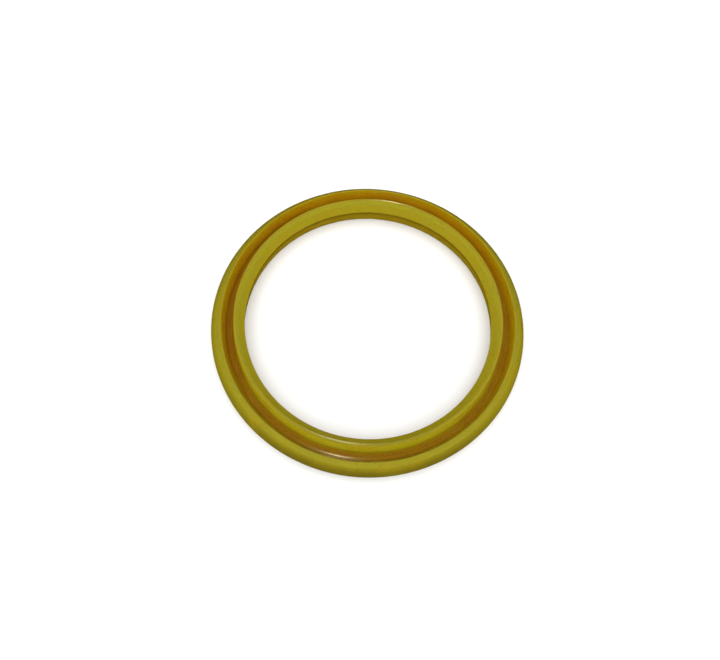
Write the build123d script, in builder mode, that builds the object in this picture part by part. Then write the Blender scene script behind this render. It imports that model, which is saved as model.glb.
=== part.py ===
from build123d import *
from math import cos, radians, sin, tan
import os

# U-cup rod seal, moulded in one piece from polyurethane.
#
# It is a ring of one constant section, revolved about Z.  The solid heel lies at the bottom, on z = 0.
# Above it a round-bottomed groove splits the section into two lips.  The inner lip seals on the rod and
# the outer lip in the housing bore.  From the groove outwards each lip has a narrow flat crest, a land,
# a bevel down to its sealing edge, and an undercut from that edge back to the heel.
# All lengths are in millimetres.

os.makedirs("parts", exist_ok=True)

# The gland that the seal is made for
rod_diameter = 80.0
gland_width = 10.0  # radial space between rod and housing bore

# Heel
seal_height = 10.0
heel_rod_gap = 0.8  # radial clearance of the heel over the rod
heel_housing_pinch = 0.05  # radial press of the heel in the housing bore
heel_chamfer = 0.4

# Groove between the lips
groove_mouth = 4.2  # between its leaning walls, measured at the seal's full height
groove_depth = 5.6
groove_wall_angle = 10.0  # degrees from upright
groove_shift = -0.1  # centre line of the groove, from the middle of the gland

# Inner lip, which seals on the rod and has the higher crest
rod_crest_flat = 0.3
rod_land_width = 1.25
rod_land_drop = 1.4
rod_lip_pinch = 0.2  # sealing edge inside the rod's radius
rod_edge_drop = 3.8  # sealing edge below the crest
rod_undercut = 3.2  # height of the undercut below the sealing edge

# Outer lip, which seals in the housing
crest_step = 0.9  # its crest below the inner one
housing_crest_flat = 0.2
housing_land_width = 1.7
housing_land_drop = 1.8
housing_lip_pinch = 0.86  # sealing edge outside the housing bore's radius
housing_edge_drop = 4.6  # sealing edge below the crest
housing_undercut = 1.7

# Radii of the rod, the housing bore and the heel, and the groove's centre line
rod_radius = rod_diameter / 2
housing_radius = rod_radius + gland_width
heel_inside = rod_radius + heel_rod_gap
heel_outside = housing_radius + heel_housing_pinch
groove_centre = rod_radius + gland_width / 2 + groove_shift

# The groove's floor is one arc, tangent to both leaning walls and to the stated depth
lean = radians(groove_wall_angle)
floor_radius = (groove_mouth / 2 * cos(lean) - groove_depth * sin(lean)) / (1 - sin(lean))
floor_centre_height = seal_height - groove_depth + floor_radius

# Radii and heights along the inner lip, from the groove to the heel
rod_crest_radius = groove_centre - groove_mouth / 2
rod_land_radius = rod_crest_radius - rod_crest_flat
rod_edge_height = seal_height - rod_edge_drop

# Radii and heights along the outer lip, from the groove to the heel
housing_crest_height = seal_height - crest_step
housing_crest_radius = groove_centre + groove_mouth / 2 - crest_step * tan(lean)
housing_land_radius = housing_crest_radius + housing_crest_flat
housing_edge_height = housing_crest_height - housing_edge_drop

with BuildPart() as seal:
    with BuildSketch(Plane.XZ):
        with BuildLine():
            floor = CenterArc(
                (groove_centre, floor_centre_height),
                floor_radius,
                start_angle=180 + groove_wall_angle,
                arc_size=180 - 2 * groove_wall_angle,
            )
            outer_lip = Polyline(
                floor @ 1,
                (housing_crest_radius, housing_crest_height),
                (housing_land_radius, housing_crest_height),
                (housing_land_radius + housing_land_width, housing_crest_height - housing_land_drop),
                (housing_radius + housing_lip_pinch, housing_edge_height),
                (heel_outside, housing_edge_height - housing_undercut),
            )
            inner_lip = Polyline(
                floor @ 0,
                (rod_crest_radius, seal_height),
                (rod_land_radius, seal_height),
                (rod_land_radius - rod_land_width, seal_height - rod_land_drop),
                (rod_radius - rod_lip_pinch, rod_edge_height),
                (heel_inside, rod_edge_height - rod_undercut),
            )
            Polyline(
                outer_lip @ 1,
                (heel_outside, heel_chamfer),
                (heel_outside - heel_chamfer, 0),
                (heel_inside + heel_chamfer, 0),
                (heel_inside, heel_chamfer),
                inner_lip @ 1,
            )
        make_face()
    revolve(axis=Axis.Z)

seal.part.label = "seal_ring"
export_step(seal.part, "parts/seal_ring.step")
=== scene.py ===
import math

import bpy
from mathutils import Matrix, Vector


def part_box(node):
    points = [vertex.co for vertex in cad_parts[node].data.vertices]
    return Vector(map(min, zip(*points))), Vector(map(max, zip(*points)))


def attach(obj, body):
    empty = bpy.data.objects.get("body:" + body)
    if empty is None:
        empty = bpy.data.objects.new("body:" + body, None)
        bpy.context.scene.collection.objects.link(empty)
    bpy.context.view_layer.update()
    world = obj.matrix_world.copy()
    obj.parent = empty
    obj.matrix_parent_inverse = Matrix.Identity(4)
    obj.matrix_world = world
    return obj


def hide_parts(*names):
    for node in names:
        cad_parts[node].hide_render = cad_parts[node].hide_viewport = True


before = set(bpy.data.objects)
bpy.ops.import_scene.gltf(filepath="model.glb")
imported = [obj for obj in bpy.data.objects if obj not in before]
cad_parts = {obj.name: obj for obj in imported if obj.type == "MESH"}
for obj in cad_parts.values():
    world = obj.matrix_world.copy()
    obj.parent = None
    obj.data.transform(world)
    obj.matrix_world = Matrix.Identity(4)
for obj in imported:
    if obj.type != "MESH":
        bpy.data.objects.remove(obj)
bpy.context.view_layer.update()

# A yellow polyurethane U-cup rod seal, lying on its heel with the groove up.
#
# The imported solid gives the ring's section.  This script puts a low crown on the inner lip, rounds the
# section's edges and turns it finely about Z.  Then it gives the ring its moulded and trimmed finish.

# Lengths are worked in millimetres and written to Blender in metres
MM = 0.001
ON_PLANE = 1e-8  # in metres, a point no further from a plane lies on it

# The inner lip's crown: width and fall of its side to the groove and of its side to the rod
GROOVE_SIDE = (0.5, math.radians(9))
ROD_SIDE = (0.6, math.radians(17))

# Radii of the finished edges, cut down where the faces beside them are too narrow
ROD_EDGE_ROUND = 0.12  # the sharp edge that runs on the rod
HOUSING_EDGE_ROUND = 0.5
CROWN_ROUND = 0.22
CORNER_ROUND = 0.8  # all other corners
CROWN_DROP = 0.15  # a corner no further below the top belongs to the crown

# Fineness of the turned surface
TURN_STEPS = 480
ARC_STEP = math.radians(12)
STRAIGHT = math.radians(1)  # a smaller turn is no corner
HOLDING_STRIP = 0.1  # narrow strip at each end of a long face, which keeps its shading flat


# ---------------------------------------------------------------- the ring

def with_neighbours(outline):
    """Each point of the closed outline, with the one before it and the one after it."""
    return zip(outline[-1:] + outline[:-1], outline, outline[1:] + outline[:1])


def turn_at(before, corner, after):
    """Angle by which the outline turns at a corner, positive to the left."""
    return -(corner - before).angle_signed(after - corner, 0)


def section_corners(node):
    """Corners of the section as (radius, height), from the heel's inner edge over both lips and back.

    The solid's seam lies in the half-plane y = 0, x > 0, so the edges there trace the section.
    """
    on_seam = {
        v.index: Vector((round(v.co.x / MM, 3), round(v.co.z / MM, 3))).freeze()
        for v in node.data.vertices
        if abs(v.co.y) < ON_PLANE and v.co.x > 0
    }
    beside = {}
    for edge in node.data.edges:
        a, b = (on_seam.get(index) for index in edge.vertices)
        if a and b:
            beside.setdefault(a, set()).add(b)
            beside.setdefault(b, set()).add(a)

    start = min((point for point in beside if point.y == 0), key=lambda point: point.x)
    outline = [start, max(beside[start], key=lambda point: point.y)]
    while len(outline) < len(beside):
        outline.append(next(point for point in beside[outline[-1]] if point != outline[-2]))
    return [point for before, point, after in with_neighbours(outline)
            if abs(turn_at(before, point, after)) > STRAIGHT]


def crowned(outline):
    """Puts a low crown on the inner lip in place of its flat crest."""
    crest = max(outline, key=lambda corner: (corner.y, corner.x))
    at = outline.index(crest)
    width, fall = GROOVE_SIDE
    groove_side = crest - Vector((0, width * math.tan(fall)))
    top = crest - Vector((width, 0))
    width, fall = ROD_SIDE
    rod_side = top - Vector((width * math.cos(fall), width * math.sin(fall)))
    return outline[:at - 1] + [rod_side, top, groove_side] + outline[at + 1:]


def edge_round(corner, outline):
    """Radius of the finished edge at a corner."""
    if corner == min(outline, key=lambda c: c.x):
        return ROD_EDGE_ROUND
    if corner == max(outline, key=lambda c: c.x):
        return HOUSING_EDGE_ROUND
    if corner.y > max(c.y for c in outline) - CROWN_DROP:
        return CROWN_ROUND
    return CORNER_ROUND


def arc_points(before, corner, after, reach):
    """Points of the arc at a corner that meets the faces beside it at a distance reach from the corner."""
    turn = turn_at(before, corner, after)
    radius = reach / math.tan(abs(turn) / 2)
    inwards = (before - corner).normalized()
    onwards = (after - corner).normalized()
    centre = corner + (inwards + onwards).normalized() * math.hypot(reach, radius)
    first = corner + inwards * reach - centre
    steps = math.ceil(abs(turn) / ARC_STEP)
    points = []
    for step in range(steps + 1):
        arm = first.copy()
        arm.rotate(Matrix.Rotation(turn * step / steps, 2))
        points.append(centre + arm)
    return points


def rounded(outline):
    """The outline with an arc at each corner.  Two arcs that would meet on a face share its length."""
    corners = list(with_neighbours(outline))
    reach = [
        edge_round(corner, outline) * math.tan(abs(turn_at(before, corner, after)) / 2)
        for before, corner, after in corners
    ]
    points = []
    for i, (before, corner, after) in enumerate(corners):
        room_before = (corner - before).length / (reach[i - 1] + reach[i])
        room_after = (after - corner).length / (reach[i] + reach[(i + 1) % len(reach)])
        points += arc_points(before, corner, after, reach[i] * min(1, room_before, room_after))
    return points


def with_holding_strips(outline):
    """Adds a point near each end of every long face, so that smooth shading doesn't bend the face."""
    points = []
    for _, here, onwards in with_neighbours(outline):
        points.append(here)
        face = onwards - here
        if face.length > 4 * HOLDING_STRIP:
            strip = face.normalized() * HOLDING_STRIP
            points += [here + strip, onwards - strip]
    return points


def turned(name, outline):
    """A ring mesh with the outline turned about Z, and a bake map laid out as one unrolled strip."""
    rows = len(outline)
    vertices = []
    for step in range(TURN_STEPS):
        angle = math.tau * step / TURN_STEPS
        vertices += [(p.x * MM * math.cos(angle), p.x * MM * math.sin(angle), p.y * MM) for p in outline]

    along = [0]
    for _, here, onwards in with_neighbours(outline):
        along.append(along[-1] + (onwards - here).length)

    faces, places = [], []
    for step in range(TURN_STEPS):
        for row in range(rows):
            corners = [(step, row), (step, row + 1), (step + 1, row + 1), (step + 1, row)]
            faces.append([s % TURN_STEPS * rows + r % rows for s, r in corners])
            places += [(s / TURN_STEPS, along[r] / along[-1]) for s, r in corners]

    mesh = bpy.data.meshes.new(name)
    mesh.from_pydata(vertices, [], faces)
    mesh.shade_smooth()
    bake_map = mesh.uv_layers.new(name="OFBake")
    for corner, place in zip(bake_map.uv, places):
        corner.vector = place
    ring = bpy.data.objects.new(name, mesh)
    bpy.context.scene.collection.objects.link(ring)
    return ring


# ---------------------------------------------------------------- shader maths

class Shade:
    """A shader socket that takes part in arithmetic.  An expression on it adds its Math nodes."""

    def __init__(self, tree, socket=None):
        self.tree = tree
        self.socket = socket

    def node(self, kind, settings=None, inputs=None, output=0):
        """Adds a node, with its settings first and then the values or links of its sockets."""
        node = self.tree.nodes.new("ShaderNode" + kind)
        for name, setting in (settings or {}).items():
            setattr(node, name, setting)
        for name, value in (inputs or {}).items():
            if isinstance(value, Shade):
                self.tree.links.new(value.socket, node.inputs[name])
            else:
                node.inputs[name].default_value = value
        return Shade(self.tree, node.outputs[output]) if node.outputs else node

    def maths(self, operation, *terms):
        return self.node("Math", {"operation": operation}, dict(enumerate(terms)))

    def __add__(self, other):
        return self.maths("ADD", self, other)

    def __sub__(self, other):
        return self.maths("SUBTRACT", self, other)

    def __rsub__(self, other):
        return self.maths("SUBTRACT", other, self)

    def __mul__(self, other):
        return self.maths("MULTIPLY", self, other)

    def __truediv__(self, other):
        return self.maths("DIVIDE", self, other)

    def __rtruediv__(self, other):
        return self.maths("DIVIDE", other, self)

    __radd__, __rmul__ = __add__, __mul__

    def above(self, low, high):
        """0 up to low, 1 from high on, and a smooth step between."""
        settings = {"interpolation_type": "SMOOTHSTEP"}
        return self.node("MapRange", settings, {"Value": self, "From Min": low, "From Max": high})

    def below(self, low, high):
        """1 up to low, 0 from high on, and a smooth step between."""
        return 1 - self.above(low, high)

    def mix(self, start, end):
        """The colour start where this is 0 and end where it is 1."""
        factor, start_colour, end_colour, mixed_colour = 0, 6, 7, 2  # places of the colour sockets
        inputs = {factor: self, start_colour: start, end_colour: end}
        return self.node("Mix", {"data_type": "RGBA"}, inputs, mixed_colour)

    def parts(self):
        """The X, Y and Z of this vector."""
        return [self.node("SeparateXYZ", {}, {"Vector": self}, axis) for axis in range(3)]

    def noise(self, scale, detail):
        """Noise from 0 to 1 at this vector."""
        return self.node("TexNoise", {}, {"Vector": self, "Scale": scale, "Detail": detail})


def empty_material(name):
    """A material with no nodes, and the Shade that adds them."""
    material = bpy.data.materials.new(name)
    material.use_nodes = True
    material.node_tree.nodes.clear()
    return material, Shade(material.node_tree)


def srgb(red, green, blue):
    """A colour given as display values from 0 to 255, made linear for a shader."""
    def linear(value):
        value /= 255
        return value / 12.92 if value <= 0.04045 else ((value + 0.055) / 1.055) ** 2.4
    return (linear(red), linear(green), linear(blue), 1)


# ---------------------------------------------------------------- the seal's finish

# Tints of the inner lip.  "In front" is towards -Y, where some tints are darker with painted shade.
# Painted shade: the crown is darker than the land, and darker still in front
CROWN = srgb(146, 133, 28)
SHADED_CROWN_IN_FRONT = srgb(138, 127, 32)
ROD_LAND = srgb(153, 146, 28)
ROD_BEVEL = srgb(151, 137, 20)
# Painted shade just under the inner sealing edge, passing into the heel's own tint lower down
SHADE_UNDER_ROD_EDGE = srgb(120, 88, 4)
ROD_UNDERCUT = srgb(140, 117, 12)

# Tints of the outer lip
HOUSING_LAND = srgb(142, 133, 30)
HOUSING_BEVEL = srgb(148, 134, 18)
# Painted shade: the outer bevel darkens towards the sealing edge, and more so in front
SHADED_HOUSING_EDGE = srgb(126, 114, 18)
SHADED_HOUSING_EDGE_IN_FRONT = srgb(100, 88, 14)
# Painted shade in a thin dark line along the outer crest, in front
PAINTED_CREST_SHADE = srgb(70, 50, 3)

# Tints of the groove, all painted light and shade
# Painted light: bright yellow at the mouth, lit through the thin lips, and amber on the walls and floor, the
# glow of light bounced inside the groove
ROD_MOUTH = srgb(188, 174, 20)
HOUSING_MOUTH = srgb(176, 148, 12)
AMBER_WALL = srgb(200, 152, 6)
# Painted light: the glow through the thin inner lip, halfway down its wall
PAINTED_GLOW_WALL = srgb(200, 202, 36)
GROOVE_FLOOR = srgb(160, 110, 6)
# Painted shade on the outer half of the groove's floor
SHADED_GROOVE_FLOOR = srgb(84, 54, 4)

# Tints of the marks
LAND_CLOUD = srgb(158, 130, 12)
GROOVE_CLOUD = srgb(170, 106, 8)
PALE_STREAK = srgb(170, 152, 24)
DARK_STREAK = srgb(118, 104, 12)
SPECK = srgb(104, 84, 10)

# Scale and detail of the noise behind each mark
CLOUDS = (110.0, 2.0)
STREAKS = (7.0, 3.0)
BROAD_STREAKS = (1.6, 2.0)
SPECKS = (1500.0, 1.0)

# How much of each mark shows where it is strongest
LAND_CLOUD_SHARE = 0.3
GROOVE_CLOUD_SHARE = 0.3
PAINTED_GLOW_SHARE = 0.8
PALE_STREAK_SHARE = 0.25
DARK_STREAK_SHARE = 0.35
SPECK_SHARE = 0.4

# Half the width over which one tint passes into the next, between two faces and between the two lips
FACE_BLEND = 0.3
LIP_BLEND = 0.5
AMBER_WANDER = 0.8  # height through which the clouds shift the tints of the groove


class Section:
    """The corners of the section that the finish goes by."""

    def __init__(self, corners):
        rod = corners.index(min(corners, key=lambda corner: corner.x))
        housing = corners.index(max(corners, key=lambda corner: corner.x))
        self.rod_heel, self.rod_edge, self.rod_bevel, _, self.rod_crest = corners[rod - 1:rod + 4]
        self.housing_crest, _, self.housing_bevel, self.housing_edge = corners[housing - 3:housing + 1]
        self.middle = (self.rod_edge.x + self.housing_edge.x) / 2
        self.floor_height = min(corner.y for corner in corners[rod + 4:housing - 3])


class Skin:
    """Where a point of the skin lies on the ring and on its section, as shades."""

    def __init__(self, shade, section):
        self.place = shade.node("TexCoord", output="Object")
        x, y, self.z = (part / MM for part in self.place.parts())
        self.radius = shade.maths("SQRT", x * x + y * y)
        self.clouds = self.place.noise(*CLOUDS)

        # Round the ring, from -1 at its left or its front to 1 at its right or its back
        self.right = x / self.radius
        self.back = y / self.radius
        self.front = self.back.below(-1.0, -0.3)
        self.foremost = self.back.below(-1.0, -0.85)

        # Across the section
        rod_crest, housing_crest = section.rod_crest, section.housing_crest
        self.housing_side = self.radius.above(section.middle - LIP_BLEND, section.middle + LIP_BLEND)
        self.in_groove = self.radius.above(rod_crest.x - 0.1, rod_crest.x + 0.1)
        self.in_groove *= self.radius.below(housing_crest.x - 0.05, housing_crest.x + 0.15)

        # Down the section.  The outer wall turns amber sooner than the inner one, and soonest at the back,
        # as painted light.
        crest_height = rod_crest.y + self.housing_side * (housing_crest.y - rod_crest.y)
        self.depth = crest_height - self.z + (self.clouds - 0.5) * AMBER_WANDER
        self.amber_depth = self.depth + self.housing_side * (0.7 + self.back * 1.1)
        self.to_edge = self.z.below(section.housing_edge.y, section.housing_bevel.y)

    def below_corner(self, corner):
        """0 on the face above a corner, 1 on the face below it."""
        return self.z.below(corner.y - FACE_BLEND, corner.y + FACE_BLEND)


def rod_lip_tint(skin, section):
    """The inner lip outside the groove: crown, land, bevel and the undercut down to the heel."""
    crest, edge = section.rod_crest.y, section.rod_edge.y
    land = skin.below_corner(section.rod_bevel).mix(ROD_LAND, ROD_BEVEL)
    # Painted shade on the crown, deepest in front
    crown = skin.foremost.mix(CROWN, SHADED_CROWN_IN_FRONT)
    land = skin.z.above(crest - 0.5, crest - 0.1).mix(land, crown)
    # Painted shade under the sealing edge, lightening down the undercut
    undercut = skin.z.below(section.rod_heel.y + 1.0, edge - 0.6).mix(SHADE_UNDER_ROD_EDGE, ROD_UNDERCUT)
    return skin.z.below(edge - 0.5, edge - 0.1).mix(land, undercut)


def housing_lip_tint(skin, section):
    """The outer lip outside the groove: land, bevel to the sealing edge, with painted shade near that edge
    and in a dark line along its crest.
    """
    # Painted shade towards the sealing edge
    bevel = skin.to_edge.mix(HOUSING_BEVEL, SHADED_HOUSING_EDGE)
    # and more painted shade there in front
    bevel = (skin.front * skin.to_edge.above(-0.8, 1.1)).mix(bevel, SHADED_HOUSING_EDGE_IN_FRONT)
    land = skin.below_corner(section.housing_bevel).mix(HOUSING_LAND, bevel)
    crest = section.housing_crest.x
    crest_shade = skin.radius.above(crest - 0.3, crest) * skin.radius.below(crest + 0.2, crest + 0.45)
    return (crest_shade * (skin.front * 0.55 + skin.foremost * 0.35)).mix(land, PAINTED_CREST_SHADE)


def groove_tint(skin, section):
    """The groove: yellow at its mouth, amber on its walls and brown on its floor, painted as the light and
    shade inside it.
    """
    mouth = skin.housing_side.mix(ROD_MOUTH, HOUSING_MOUTH)
    wall = skin.amber_depth.above(2.0, 4.5).mix(mouth, AMBER_WALL)
    tint = skin.depth.above(3.4, 5.0).mix(wall, GROOVE_FLOOR)
    tint = (skin.clouds.above(0.4, 0.75) * GROOVE_CLOUD_SHARE).mix(tint, GROOVE_CLOUD)

    # Halfway down, the inner wall is painted a lighter yellow, the glow of light through the thin lip, most
    # of all in front and on the right
    clear = skin.depth.above(1.9, 3.3) * skin.depth.below(3.5, 6.0) * (1 - skin.housing_side)
    clear = clear * (skin.right * 0.35 - skin.back).above(-0.6, 0.9)
    tint = (clear * PAINTED_GLOW_SHARE).mix(tint, PAINTED_GLOW_WALL)

    # Painted shade on the outer half of the floor, shut in under the outer lip, darkest on the left
    floor_shade = skin.radius.above(section.middle - 0.1, section.middle + 0.7)
    floor_shade = floor_shade * skin.z.below(section.floor_height + 0.2, section.floor_height + 1.3)
    return (floor_shade * (0.45 - skin.right * 0.15)).mix(tint, SHADED_GROOVE_FLOOR)


def polyurethane(corners):
    """Yellow moulded polyurethane: clear yellow on the trimmed lips, and amber down in the groove, where the
    tint is painted light.
    """
    material, shade = empty_material("polyurethane")
    section = Section(corners)
    skin = Skin(shade, section)

    land = skin.housing_side.mix(rod_lip_tint(skin, section), housing_lip_tint(skin, section))
    cloud = skin.clouds.above(0.45, 0.75) * LAND_CLOUD_SHARE * (1 - skin.to_edge)
    land = cloud.mix(land, LAND_CLOUD)
    amber_share = skin.in_groove * skin.amber_depth.above(0.0, 1.2)
    colour = amber_share.mix(land, groove_tint(skin, section))

    # Marks from turning and trimming, which change slowly round the ring and quickly across it
    across = skin.radius + skin.z * 0.6
    lay = shade.node("CombineXYZ", {}, {"X": skin.right * 3, "Y": skin.back * 3, "Z": across})
    streaks = lay.noise(*STREAKS)
    pale = lay.noise(*BROAD_STREAKS).above(0.5, 0.8)
    dark = streaks.above(0.52, 0.8) * (1 - skin.in_groove)
    specks = skin.place.noise(*SPECKS).above(0.6, 0.75)
    colour = (pale * PALE_STREAK_SHARE).mix(colour, PALE_STREAK)
    colour = (dark * DARK_STREAK_SHARE).mix(colour, DARK_STREAK)
    colour = (specks * SPECK_SHARE).mix(colour, SPECK)

    relief = streaks * (1 - skin.in_groove * 0.85) + skin.clouds * 0.4
    surface = shade.node("BsdfPrincipled", {}, {
        "Base Color": colour,
        "Roughness": 0.19 + streaks * 0.05 + skin.in_groove * 0.01,
        "Normal": shade.node("Bump", {}, {"Strength": 0.4, "Distance": 0.04 * MM, "Height": relief}),
        "Specular IOR Level": 0.5,
        "Anisotropic": 1.0,
        "Anisotropic Rotation": 0.25,
        "Subsurface Weight": 0.5,
        "Subsurface Radius": (1.0, 0.6, 0.08),
        "Subsurface Scale": 1.0 * MM,
    })
    shade.node("OutputMaterial", {}, {"Surface": surface})
    return material


# ---------------------------------------------------------------- floor, light and camera

FLOOR_WIDTH = 3000 * MM  # far wider than the seal
FLOOR_GRAIN = (400.0, 3.0)  # scale and detail
GRAIN_DARK = srgb(250, 250, 249)
GRAIN_LIGHT = srgb(253, 253, 253)

# Light of the room at the horizon, and how much more there is overhead, in front and to both sides
ROOM_LEVEL = 0.58
ROOM_ABOVE = 0.95
ROOM_IN_FRONT = 0.5  # and as much less behind
ROOM_SIDES = 0.6

LAMP_AZIMUTH = math.radians(3.4)  # from +Y, which is behind the seal, towards +X
LAMP_ELEVATION = math.radians(37)
LAMP_DISTANCE = 1200 * MM
LAMP_WIDTH = 45 * MM
LAMP_POWER = 2.6
LAMP_TINT = (1.0, 0.93, 0.62)

CAMERA_ELEVATION = math.radians(67.1)
CAMERA_DISTANCE = 200 * MM
CAMERA_ROLL = math.radians(4.85)
CAMERA_SHIFT = (-0.01125, -0.008125)  # sideways and upwards, in widths of the view
LENS = 30
SENSOR_WIDTH = 36


def paper():
    """The floor's finish: pale, matt and faintly grained."""
    material, shade = empty_material("pale_floor")
    grain = shade.node("TexCoord", output="Object").noise(*FLOOR_GRAIN)
    matt = shade.node("BsdfDiffuse", {}, {"Color": grain.mix(GRAIN_DARK, GRAIN_LIGHT)})
    shade.node("OutputMaterial", {}, {"Surface": matt})
    return material


def pale_floor(height):
    """A wide square floor, which isn't mirrored in the seal, so that the lands keep their full colour."""
    half = FLOOR_WIDTH / 2
    corners = [(-half, -half, 0), (half, -half, 0), (half, half, 0), (-half, half, 0)]
    mesh = bpy.data.meshes.new("floor")
    mesh.from_pydata(corners, [], [(0, 1, 2, 3)])
    mesh.materials.append(paper())
    floor = bpy.data.objects.new("floor", mesh)
    floor.location.z = height
    floor.visible_glossy = False
    bpy.context.scene.collection.objects.link(floor)
    return floor


def room_light():
    """Soft light all round, strongest from above, in front and at the sides.  It isn't mirrored either."""
    world = bpy.data.worlds.new("room")
    world.use_nodes = True
    x, y, z = Shade(world.node_tree).node("TexCoord").parts()
    strength = ROOM_LEVEL + z.above(0.0, 1.0) * ROOM_ABOVE - y * ROOM_IN_FRONT + x * x * ROOM_SIDES
    room = world.node_tree.nodes["Background"]
    room.inputs["Color"].default_value = (1.0, 1.0, 1.0, 1)
    world.node_tree.links.new(strength.socket, room.inputs["Strength"])
    world.cycles_visibility.glossy = False
    bpy.context.scene.world = world


def lamp_behind():
    """A small warm lamp that is only mirrored.  Without shadow, it reaches the groove past the inner lip."""
    lamp = bpy.data.lights.new("lamp_behind", "AREA")
    lamp.size = LAMP_WIDTH
    lamp.energy = LAMP_POWER
    lamp.color = LAMP_TINT
    lamp.use_shadow = False
    level = math.cos(LAMP_ELEVATION)
    away = Vector((math.sin(LAMP_AZIMUTH) * level, math.cos(LAMP_AZIMUTH) * level, math.sin(LAMP_ELEVATION)))
    holder = bpy.data.objects.new("lamp_behind", lamp)
    holder.location = away * LAMP_DISTANCE
    holder.rotation_euler = away.to_track_quat("Z", "Y").to_euler()
    holder.visible_diffuse = False
    bpy.context.scene.collection.objects.link(holder)


def camera():
    """The camera looks down at the seal from the front, a little tilted."""
    lens = bpy.data.cameras.new("camera")
    lens.lens = LENS
    lens.sensor_width = SENSOR_WIDTH
    lens.clip_start = 10 * MM
    lens.shift_x, lens.shift_y = CAMERA_SHIFT
    away = Vector((0, -math.cos(CAMERA_ELEVATION), math.sin(CAMERA_ELEVATION)))
    holder = bpy.data.objects.new("camera", lens)
    holder.matrix_world = (
        Matrix.Translation(away * CAMERA_DISTANCE)
        @ away.to_track_quat("Z", "Y").to_matrix().to_4x4()
        @ Matrix.Rotation(CAMERA_ROLL, 4, "Z")
    )
    bpy.context.scene.collection.objects.link(holder)
    bpy.context.scene.camera = holder


# ---------------------------------------------------------------- the scene

corners = section_corners(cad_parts["seal_ring"])
ring = turned("moulded_ring", with_holding_strips(rounded(crowned(corners))))
ring.data.materials.append(polyurethane(corners))
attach(ring, "root")
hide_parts("seal_ring")

lowest_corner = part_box("seal_ring")[0]
floor = pale_floor(lowest_corner.z)

room_light()
lamp_behind()
camera()
bpy.context.scene.view_settings.view_transform = "Standard"
